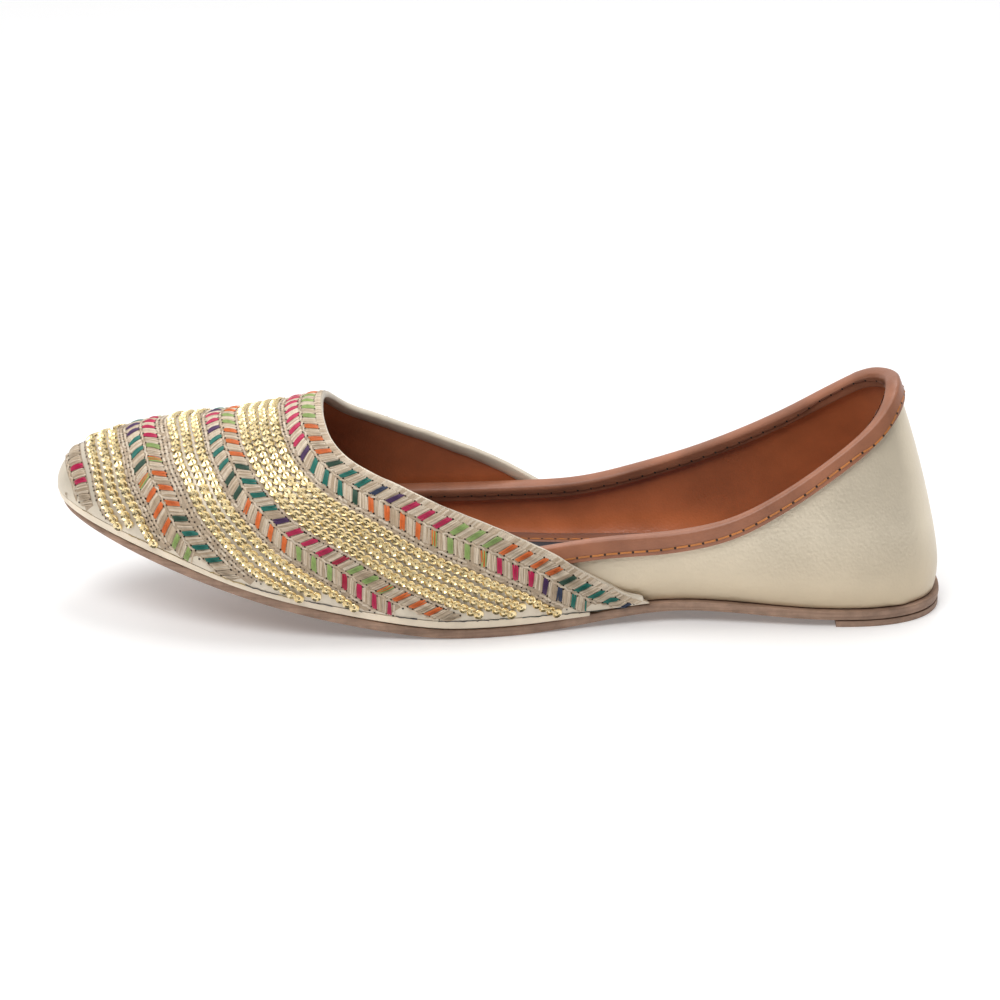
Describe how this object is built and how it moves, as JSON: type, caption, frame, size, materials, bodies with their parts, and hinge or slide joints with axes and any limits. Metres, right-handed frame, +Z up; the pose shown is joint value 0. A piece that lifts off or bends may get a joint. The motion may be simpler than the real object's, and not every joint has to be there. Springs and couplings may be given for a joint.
{
  "type": "mojari shoe",
  "caption": "Low embroidered leather slipper for the right foot, with a raised toe, free throat edge, bound topline and thin arched leather sole.",
  "frame": {"origin": "middle of the shoe's box, on the floor under the sole", "axes": "-X to the toe, +X to the heel, -Y to the inner side of the foot, +Z up"},
  "size_m": [0.2538, 0.0848, 0.0669],
  "materials": {
    "outsole_leather": "worn natural leather, matt",
    "lift_leather": "stacked leather edge, matt",
    "insole_cover": "dark slate cover, matt",
    "rand_leather": "cream metallic leather",
    "vamp_embroidery": "beige silk embroidery with sequins",
    "quarter_leather": "pale gold metallic leather, fine grain",
    "binding_leather": "tan leather, satin"
  },
  "bodies": {
    "root": {"outsole": "outsole_leather", "heel_lift": "lift_leather", "insole": "insole_cover", "rand": "rand_leather", "upper_vamp": "vamp_embroidery", "upper_quarters": "quarter_leather", "topline_binding": "binding_leather"}
  },
  "joints": []
}
